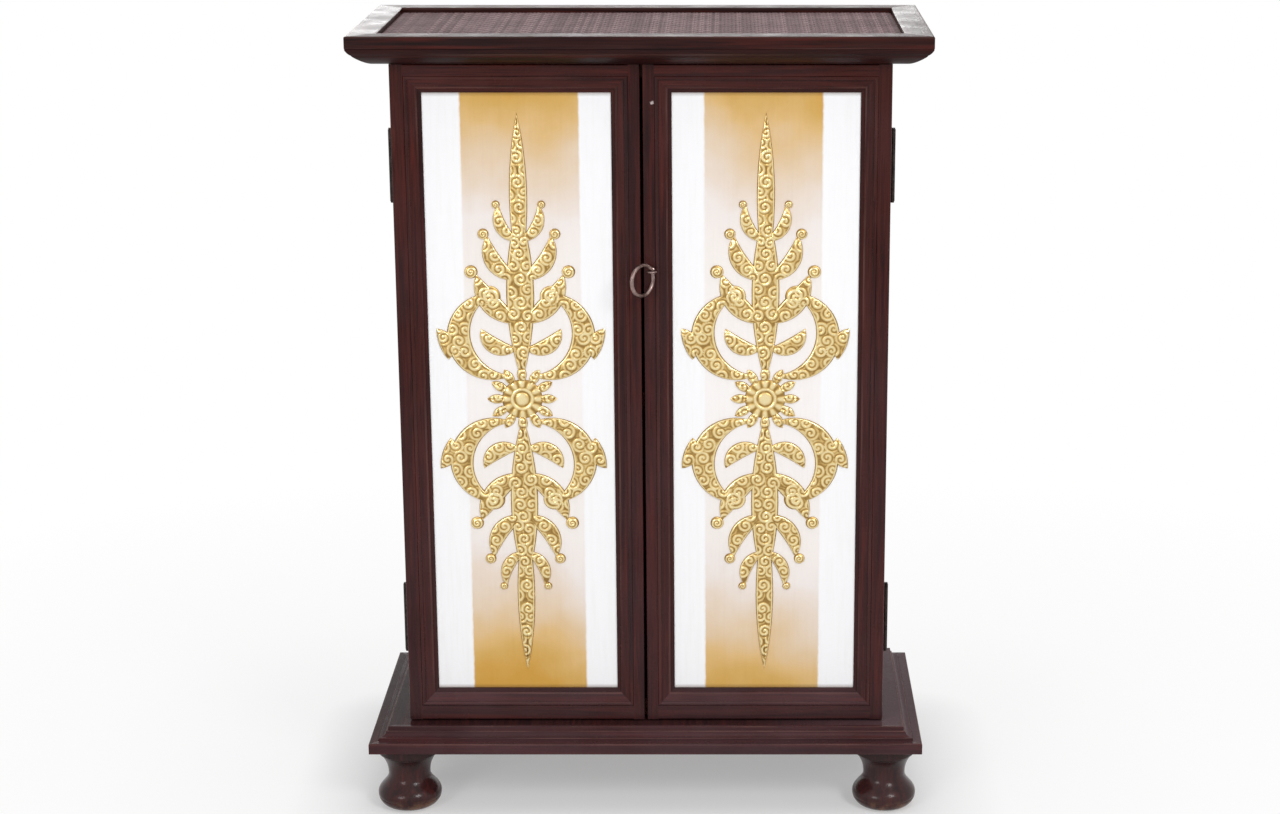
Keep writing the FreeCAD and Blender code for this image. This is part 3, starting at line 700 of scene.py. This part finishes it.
def ringPlaces(low, high):
    # the four sides of a rectangle: name, length, and the turn and place of a strip's outer edge
    middle, size = (low + high) / 2, high - low
    for name, length, turn, out in (
        ("front", size.x, 0, (0, -size.y / 2)), ("right", size.y, 90, (size.x / 2, 0)),
        ("back", size.x, 180, (0, size.y / 2)), ("left", size.y, 270, (-size.x / 2, 0)),
    ):
        place = Matrix.Translation((middle.x + out[0], middle.y + out[1], low.z))
        yield name, length, place @ Matrix.Rotation(math.radians(turn), 4, "Z")


topGroove = {"point": 13, "depth": 0.6, "wear": 0.5}  # cut into the rounded under-edge, its lip rubbed

underEdge = [(*point, 0) for point in sweep((26.0, 0.0), (18.2, 0.0), (0.0, 13.0), (0.0, 18.6))]
grooveX, grooveZ = underEdge[topGroove["point"]][:2]
lipX, lipZ = underEdge[topGroove["point"] + 1][:2]
topSection = [
    (29.0, 0.0, 0),
    *underEdge[:topGroove["point"]],
    (grooveX + topGroove["depth"], grooveZ, 0), (lipX, lipZ, topGroove["wear"]),
    *underEdge[topGroove["point"] + 2:-1],
    (0.5, 18.2, 0), (0.0, 18.6, 0.4), (0.0, 19.4, 0.1), (0.0, 29.2, 0),
    *turnInto((0.0, 29.4), (0.0, 31.0), (1.6, 31.0), 6, 0.3),
    (2.6, 31.0, 0), (26.4, 31.0, 0),
    *turnInto((27.4, 31.0), (29.0, 31.0), (29.0, 29.4), 5, 0.2),
    (29.0, 28.0, 0),
]
plinthSection = [
    (24.0, 0.0, 0), (1.6, 0.0, 0), (0.6, 0.0, 0.6), (0.0, 0.6, 0.6), (0.0, 1.6, 0), (0.0, 10.2, 0),
    *turnInto((0.0, 11.0), (0.0, 12.2), (1.2, 12.2), 5, 0.5),
    (2.2, 12.2, 0), (9.3, 12.2, 0), (9.6, 11.9, 0), (10.0, 12.2, 0), (10.0, 14.5, 0),
    *turnInto((10.0, 14.7), (10.0, 15.2), (10.5, 15.2), 4, 1.0),
    *turnInto((11.1, 15.2), (17.5, 15.2), (17.5, 19.8), 12),
    *turnInto((17.5, 20.1), (17.5, 20.5), (17.9, 20.5), 4, 1.0),
    (19.2, 20.5, 0), (19.5, 20.7, 0), (19.5, 24.2, 0),
    *turnInto((19.5, 24.4), (19.5, 25.0), (20.1, 25.0), 4, 1.0),
    (21.0, 25.0, 0), (24.0, 25.0, 0),
]
for prefix, suffix, section, across, deep in (
    ("top", "rail", topSection, lacquerTopX, lacquerTopY),
    ("plinth", "moulding", plinthSection, lacquerBaseX, lacquerBaseY),
):
    names = {side: f"{prefix}_{side}_{suffix}" for side in ("front", "right", "back", "left")}
    corners = [corner for node in names.values() for corner in boxOf(node)]
    low = Vector([min(corner[axis] for corner in corners) for axis in range(3)])
    high = Vector([max(corner[axis] for corner in corners) for axis in range(3)])
    for side, length, matrix in ringPlaces(low, high):
        bm = bmesh.new()
        mitredStrip(bm, section, length, matrix)
        material = across if side in ("front", "back") else deep
        title = prefix + side.capitalize() + suffix.capitalize()
        finishPiece(title, bm, [material], mouldingSmooth["edges"], names[side])
print("mouldings: top rails and plinth")

# wear below nought paints shade in the crease under the bead and in the hollow next to the panel
panelSection = [
    (18.0, 0.0, 0), (0.0, 0.0, 0), (0.0, 8.0, 0),
    *turnInto((0.0, 8.2), (0.3, 9.2), (2.0, 9.2), 5, 0.15),
    *turnInto((2.0, 9.2), (3.7, 9.2), (4.0, 8.2), 5, 0.15)[1:],
    (4.0, 7.5, -0.2), (4.4, 7.1, -0.2), (5.0, 7.0, 0), (9.0, 5.5, 0), (11.4, 4.5, 0),
    (12.1, 4.2, 0.5), (13.0, 3.85, 0.5), (13.8, 3.5, 0.2), (14.0, 3.1, 0), (14.0, 2.5, -0.3),
    *turnInto((14.2, 2.3), (17.4, 2.2), (17.6, 1.5), 6, -0.4),
    (18.0, 1.2, -1.0),
]
panelWoods = [lacquerX, lacquerZ, lacquerSill]
sideSlots = {"front": 2, "right": 1, "back": 0, "left": 1}  # bottom, right, top and left strips of a panel
for door in ("left", "right"):
    node = door + "_door_panel_moulding"
    low, high = boxOf(node)
    flatLow, flatHigh = Vector((low.x, low.z, 0)), Vector((high.x, high.z, 0))
    stand = Matrix.Translation((0, high.y, 0)) @ Matrix.Rotation(math.radians(90), 4, "X")
    bm = bmesh.new()
    for side, length, matrix in ringPlaces(flatLow, flatHigh):
        mitredStrip(bm, panelSection, length, stand @ matrix, sideSlots[side])
    finishPiece(door + "PanelMoulding", bm, panelWoods, mouldingSmooth["panels"], node)
print("mouldings: door panels")

# turned feet: half outline of (radius, height) points in mm, spun about its axis
footSetup = {"groovePoint": 17, "grooveDepth": 0.5, "collarEvery": 4, "steps": 80, "smooth": 40}

footBase = sweep((22.0, 0.0), (29.2, 0.0), (35.0, 6.5), (35.0, 14.4))
grooveRadius, grooveHeight = footBase[footSetup["groovePoint"]]
footOutline = [
    (0.0, 0.0),
    *footBase[:footSetup["groovePoint"]],
    (grooveRadius - footSetup["grooveDepth"], grooveHeight),
    *footBase[footSetup["groovePoint"] + 1:],
    *sweep((35.0, 14.4), (35.0, 23.5), (23.0, 28.0), (23.0, 37.0))[1:],
    *sweep((23.0, 37.0), (23.0, 47.5), (26.0, 53.0), (31.0, 60.5))[1:],
    (31.0, 61.3),
    *sweep((31.8, 61.3), (33.2, 61.4), (34.0, 62.4), (34.0, 63.8))[::footSetup["collarEvery"]],
    (34.0, 72.5), (10.0, 72.5), (10.0, 90.5), (0.0, 90.5),
]
for foot in ("front_left_foot", "front_right_foot", "back_left_foot", "back_right_foot"):
    low, high = boxOf(foot)
    bm = bmesh.new()
    outline = [(radius * mm, 0, up * mm) for radius, up in footOutline]
    spinOutline(bm, outline, (0, 0, 0), (0, 0, 1), footSetup["steps"])
    bmesh.ops.translate(bm, verts=bm.verts, vec=((low.x + high.x) / 2, (low.y + high.y) / 2, low.z))
    depth, side = foot.split("_")[:2]
    title = depth + side.capitalize() + "Foot"
    finishPiece(title, bm, [lacquerFoot], footSetup["smooth"], foot)
print("feet: four turned")

# woven mat: crowned cane strips in a two over, two under twill; sizes in mm
matWeave = {
    "width": 3.7, "edge": 0.05, "thickness": 0.5, "lift": 0.36, "repeat": 4, "over": 2,
    "smooth": 60,
}


def weaveMat(setup):
    low, high = boxOf("woven_mat")
    middle, size, pitch = (low + high) / 2, high - low, caneLook["pitch"]
    half, thick, edge = setup["width"] / 2 * mm, setup["thickness"] / 2 * mm, setup["edge"] * mm
    section = ((-half, -thick), (half, -thick), (half, edge), (0, thick), (-half, edge))
    whole = bmesh.new()
    for along in (0, 1):
        across = 1 - along
        crossings, strips = int(size[along] / pitch), int(size[across] / pitch)
        startAlong = middle[along] - (crossings - 1) * pitch / 2
        startAcross = middle[across] - (strips - 1) * pitch / 2
        repeat = Vector((0, 0, 0))
        repeat[across] = setup["repeat"] * pitch

        def at(sideways, up, step, phase):
            over = (step + phase) % setup["repeat"] < setup["over"]
            lift = setup["lift"] * mm * (1 if over == bool(along) else -1)
            spot = Vector((0, 0, middle.z + up + lift))
            spot[along], spot[across] = startAlong + step * pitch, startAcross + phase * pitch + sideways
            return spot

        for phase in range(setup["repeat"]):
            bm = bmesh.new()
            face = bm.faces.new([bm.verts.new(at(*point, 0, phase)) for point in section])
            for step in range(1, crossings):
                drawn = bmesh.ops.extrude_face_region(bm, geom=[face])["geom"]
                if step > 1:  # a strip is closed at its two ends only
                    bmesh.ops.delete(bm, geom=[face], context="FACES_ONLY")
                face = ofKind(drawn, bmesh.types.BMFace)[0]
                shift = at(0, 0, step, phase) - at(0, 0, step - 1, phase)
                bmesh.ops.translate(bm, verts=face.verts, vec=shift)
            for item in bm.faces:
                item.material_index = along
            faceOutward(bm)
            strip = bpy.data.meshes.new("caneStrip")
            bm.to_mesh(strip)
            bm.free()
            for index in range(phase, strips, setup["repeat"]):
                whole.from_mesh(strip)
                strip.transform(Matrix.Translation(repeat))
            bpy.data.meshes.remove(strip)
    return newObject("wovenMat", whole, [caneX, caneY], setup["smooth"])


standFor(weaveMat(matWeave), "woven_mat")
print("mat: woven")

# gilt relief: crowned leaves, volutes and a rosette, chased all over with small whorls; sizes in mm
reliefSetup = {
    "width": 196.5,
    "height": 655.0,
    "thickness": 2.6,
    "cell": 0.85,          # mesh step
    "smooth": 55,
    "seed": 11,
    "whorlStep": 14.5,     # between whorls
    "whorlRows": 0.9,      # distance of the rows, as a share of the step
    "whorlSpare": 3,       # rows and columns beyond a full count
    "whorlJitter": 0.2,
    "whorlReach": 0.66,    # share of the step
    "whorlPitch": 4.6,     # between the ridges of a whorl
    "whorlLift": 0.75,
    # each leaf: its two ends as shares of width and height, and the bows of its two edges
    "leaves": (
        (0.050, 0.040, 0.130, 0.176, 0.40, 0.68),
        (0.020, 0.085, 0.215, 0.118, 0.02, 0.42),
        (0.395, 0.066, 0.455, 0.118, -0.34, 0.10),
        (0.000, 0.128, 0.235, 0.208, -0.02, 0.30),
        (0.000, 0.200, 0.170, 0.272, 0.04, 0.36),
        (0.000, 0.262, 0.105, 0.322, 0.06, 0.36),
    ),
    # rim and groove as shares of the half width; lift and groove are full from these half widths on
    "leafForm": {
        "edgeHeight": 0.5, "crown": 0.42, "rim": 0.86, "rimWidth": 0.07, "rimLift": 0.7,
        "fullLift": 5, "groove": 0.16, "fullGroove": 3, "shadeGain": 2.5,
        "leastCells": (8, 16), "bowLength": 1.1,
    },
    # volute eyes: across, up and radius
    "volutes": ((0.165, 0.171, 0.060), (0.262, 0.212, 0.036), (0.192, 0.274, 0.030), (0.122, 0.322, 0.022)),
    "voluteForm": {
        "turns": 2.2, "height": 0.86, "lift": 0.7, "fullLift": 8, "shadeGain": 2,
        "leastCells": (24, 8), "cellsPerMm": (5, 1.4),
    },
    # lance leaves on the axis: foot, tip and half width
    "lances": ((0.03, 0.32, 0.075), (0.20, 0.47, 0.048)),
    "spine": 0.8,          # depth of the groove along lances and petals
    "rosette": 0.110,
    "petals": 12,
    "petalLength": 0.080,
    "petalWidth": 0.026,
    # places by their share of the radius, heights in mm
    "rosetteForm": {
        "boss": 0.34, "ring": 0.5, "ringWidth": 0.07, "lobes": 0.78, "lobesHalf": 0.22, "lobesLow": 0.35,
        "plateHeight": 1.3, "bossHeight": 1.4, "ringHeight": 0.9, "lobesHeight": 1.1,
        "stepsPerPetal": 12, "rings": 34,
    },
}


def fall(away, power):  # one in the middle, nought at the edge and past it
    return max(0.0, 1 - away ** power)


def ridgeAt(value, place, width):
    return math.exp(-((value - place) / width) ** 2)


def swell(angle):  # nought to one and back in each turn
    return 0.5 + 0.5 * math.cos(angle)


def arcThrough(start, middle, end):
    # points of the arc through three points, by a share from start to end
    near, far = middle - start, end - start
    cross = 2 * (near.x * far.y - near.y * far.x)
    if abs(cross) < 1e-6:  # in line
        return lambda share: start.lerp(end, share)
    centre = start + Vector((far.y * near.length_squared - near.y * far.length_squared,
                             near.x * far.length_squared - far.x * near.length_squared)) / cross
    first, ray, last = start - centre, middle - centre, end - centre
    turn, part = -first.angle_signed(last), -first.angle_signed(ray)
    if turn * part < 0 or abs(part) > abs(turn):
        turn -= math.copysign(math.tau, turn)
    return lambda share: centre + Matrix.Rotation(turn * share, 2) @ first


def placeWhorls(setup):
    draw = random.Random(setup["seed"])
    step, jitter = setup["whorlStep"], setup["whorlJitter"]
    rows, columns = (int(setup[side] / step) + setup["whorlSpare"] for side in ("height", "width"))
    whorls = KDTree(rows * columns)
    for row in range(rows):
        for column in range(columns):
            x = (column - columns / 2 + row % 2 / 2 + draw.uniform(-jitter, jitter)) * step
            y = (row - rows / 2 + draw.uniform(-jitter, jitter)) * step * setup["whorlRows"]
            whorls.insert((x, y, 0), row * columns + column)
    whorls.balance()
    return whorls


def giltRelief(setup):
    width, height, thick = setup["width"], setup["height"], setup["thickness"]
    whorls = placeWhorls(setup)
    reach = setup["whorlReach"] * setup["whorlStep"]
    bm = bmesh.new()
    chaseShading = bm.verts.layers.float.new("chaseShading")

    def ridges(x, y):  # height of the nearest whorl, nought to one
        near, index, away = whorls.find((x, y, 0))
        angle = math.atan2(y - near.y, x - near.x) * (1 if index % 2 else -1)
        return swell(math.tau * away / setup["whorlPitch"] - angle + index) * fall(away / reach, 6)

    def patch(across, along, shape):
        # a grid drawn to shape(s, t) -> x, y, height, chase shading (painted highlight on ridges, painted
        # shade in hollows), then closed by a flat back
        grid = bmesh.ops.create_grid(bm, x_segments=across, y_segments=along, size=0.5)["verts"]
        for vert in grid:
            x, y, up, deep = shape(vert.co.x + 0.5, vert.co.y + 0.5)
            vert.co = (x * mm, -up * mm, y * mm)
            vert[chaseShading] = deep
        bmesh.ops.remove_doubles(bm, verts=grid, dist=2 * joinWithin)
        kept = [vert for vert in grid if vert.is_valid]
        rim = dict.fromkeys(edge for vert in kept for edge in vert.link_edges if edge.is_boundary)
        bmesh.ops.edgeloop_fill(bm, edges=list(rim))

    def leaf(inner, outer, spine):  # crowned between two edges, with a raised rim
        form, cell = setup["leafForm"], setup["cell"]
        length = (inner(0.5) - inner(0)).length + (inner(1) - inner(0.5)).length
        wide = max((inner(share) - outer(share)).length for share in (0.3, 0.5, 0.7))
        leastAcross, leastAlong = form["leastCells"]
        across = max(leastAcross, round(wide / cell))
        along = max(leastAlong, round(length * form["bowLength"] / cell))

        def shape(s, t):
            s = 1 - swell(math.pi * s)
            left, right = inner(t), outer(t)
            spot = left.lerp(right, s)
            half = (right - left).length / 2
            u = abs(2 * s - 1)
            dome = fall(u, 3) ** 0.5
            peak = min(thick, form["edgeHeight"] + form["crown"] * half)
            rim = ridgeAt(u, form["rim"], form["rimWidth"])
            field = fall(u / form["rim"], 8)
            wave = ridges(spot.x, spot.y)
            lift = setup["whorlLift"] * min(1.0, half / form["fullLift"])
            up = dome * (peak - 0.5 * lift * field)
            up += lift * (field * wave + form["rimLift"] * rim) * dome
            up -= spine * fall(u / form["groove"], 2) * min(1.0, half / form["fullGroove"]) * dome
            # painted shade: dark between the whorls and towards the leaf edges
            deep = max(field * wave, rim) * min(1.0, form["shadeGain"] * dome)
            return spot.x, spot.y, up, deep

        patch(across, along, shape)

    def horn(start, end, innerBow, outerBow, spine=0.0):  # a leaf between two arcs
        span = end - start
        side, middle = Vector((span.y, -span.x)), (start + end) / 2
        inner, outer = (arcThrough(start, middle + side * bow, end) for bow in (innerBow, outerBow))
        leaf(inner, outer, spine)

    def spindle(start, end, half):  # a straight leaf, grooved along its middle
        bow = half / (end - start).length
        horn(start, end, -bow, bow, setup["spine"])

    def volute(centre, radius):
        form = setup["voluteForm"]

        def shape(s, t):
            angle, away = math.tau * s, t * radius
            wave = swell(math.tau * form["turns"] * t - angle)
            dome = fall(t, 4) ** 0.5
            up = dome * (thick * form["height"] + form["lift"] * wave * min(1.0, radius / form["fullLift"]))
            spot = centre + Vector((math.cos(angle), math.sin(angle))) * away
            return spot.x, spot.y, up, wave * min(1.0, form["shadeGain"] * dome)

        counts = zip(form["leastCells"], form["cellsPerMm"])
        patch(*[max(least, round(radius * each)) for least, each in counts], shape)

    def rosette(radius, petals):
        form = setup["rosetteForm"]

        def shape(s, t):
            angle, away = math.tau * s, t * radius
            lobes = swell(angle * petals)
            boss = fall(t / form["boss"], 2) ** 0.5
            ring = ridgeAt(t, form["ring"], form["ringWidth"])
            outer = fall((t - form["lobes"]) / form["lobesHalf"], 2) ** 0.5
            up = form["plateHeight"] + form["bossHeight"] * boss + form["ringHeight"] * ring
            up += form["lobesHeight"] * outer * (form["lobesLow"] + (1 - form["lobesLow"]) * lobes)
            spot = Vector((math.cos(angle), math.sin(angle))) * away
            return spot.x, spot.y, fall(t, 8) ** 0.5 * up, max(boss, ring, outer * lobes)

        patch(petals * form["stepsPerPetal"], form["rings"], shape)

    def at(across, up):
        return Vector((across * width, up * height))

    radius, petalHalf = setup["rosette"] * width, setup["petalWidth"] * width
    rosette(radius, setup["petals"])
    for index in range(setup["petals"]):
        angle = math.tau * index / setup["petals"]
        ray = Vector((math.cos(angle), math.sin(angle)))
        spindle(ray * (radius - petalHalf), ray * (radius + setup["petalLength"] * width), petalHalf)
    for up in (-1, 1):
        for foot, tip, half in setup["lances"]:
            spindle(at(0, up * foot), at(0, up * tip), half * width)
        for side in (-1, 1):
            turn = side * up
            for x0, y0, x1, y1, innerBow, outerBow in setup["leaves"]:
                start, end = at(side * x0, up * y0), at(side * x1, up * y1)
                horn(start, end, turn * innerBow, turn * outerBow)
            for x, y, eye in setup["volutes"]:
                volute(at(side * x, up * y), eye * width)
    return bm


reliefMesh = bpy.data.meshes.new("reliefPattern")
reliefPattern = giltRelief(reliefSetup)
reliefPattern.to_mesh(reliefMesh)
reliefPattern.free()
for door, side in (("left", -1), ("right", 1)):
    node = door + "_door_gilt_relief"
    low, high = boxOf(node)
    bm = bmesh.new()
    bm.from_mesh(reliefMesh)
    place = Matrix.Translation(((low.x + high.x) / 2, high.y, (low.z + high.z) / 2))
    bmesh.ops.transform(bm, matrix=place @ Matrix.Diagonal((side, 1, 1, 1)), verts=bm.verts)
    finishPiece(door + "GiltRelief", bm, [gilt], reliefSetup["smooth"], node)
bpy.data.meshes.remove(reliefMesh)
print("relief: both doors")

# ring pull and its screw eye; sizes in mm, turns measured to the middle of the wire
pullSetup = {
    "ringTurn": 16.25,
    "ringWire": 2.0,
    "turnOut": 41.0,  # degrees
    "eyeTurn": 4.0,
    "eyeWire": 1.3,
    "shank": 1.5,
    "collarTop": 1.1,
    "collar": ((2.6, 0.9), (3.1, 0.4), (3.1, 0.0)),  # radius, height above the door
    "wireSides": 20,
    "steps": {"ring": 72, "eye": 40, "shank": 24},
    "smooth": {"ring": 60, "eye": 50},
}


def wireRing(bm, turn, wire, steps, matrix):
    ring = bmesh.ops.create_circle(bm, segments=pullSetup["wireSides"], radius=wire * mm)["verts"]
    bmesh.ops.rotate(bm, verts=ring, cent=(0, 0, 0), matrix=Matrix.Rotation(math.radians(90), 3, "X"))
    bmesh.ops.translate(bm, verts=ring, vec=(turn * mm, 0, 0))
    edges = list(dict.fromkeys(edge for vert in ring for edge in vert.link_edges))
    spinRound(bm, ring + edges, (0, 0, 0), (0, 0, 1), steps)
    bmesh.ops.transform(bm, matrix=matrix, verts=bm.verts)


def pullRing(setup):
    low, high = boxOf("pull_ring")
    angle = math.radians(setup["turnOut"])
    outward, upward = Vector((-math.sin(angle), -math.cos(angle), 0)), Vector((0, 0, 1))
    turned = Matrix((outward, upward, outward.cross(upward))).transposed().to_4x4()
    place = Matrix.Translation((low + high) / 2) @ turned
    bm = bmesh.new()
    wireRing(bm, setup["ringTurn"], setup["ringWire"], setup["steps"]["ring"], place)
    finishPiece("pullRing", bm, [pullMetal], setup["smooth"]["ring"], "pull_ring")


def pullEye(setup):
    low, high = boxOf("pull_eye")
    reach = (setup["eyeTurn"] + setup["eyeWire"]) * mm
    centre = Vector(((low.x + high.x) / 2, low.y + reach, (low.z + high.z) / 2))
    bm = bmesh.new()
    wireRing(bm, setup["eyeTurn"], setup["eyeWire"], setup["steps"]["eye"], Matrix.Translation(centre))
    doorFront = boxOf("right_door_meeting_stile")[0].y
    shank, start = setup["shank"] * mm, centre.y + setup["eyeTurn"] * mm
    outline = [
        (0, start), (shank, start), (shank, doorFront - setup["collarTop"] * mm),
        *[(away * mm, doorFront - up * mm) for away, up in setup["collar"]],
        (shank, doorFront), (shank, high.y), (0, high.y),
    ]
    points = [(centre.x + away, depth, centre.z) for away, depth in outline]
    spinOutline(bm, points, centre, (0, 1, 0), setup["steps"]["shank"])
    finishPiece("pullEye", bm, [pullMetal], setup["smooth"]["eye"], "pull_eye")


pullRing(pullSetup)
pullEye(pullSetup)
print("pull: ring and eye")
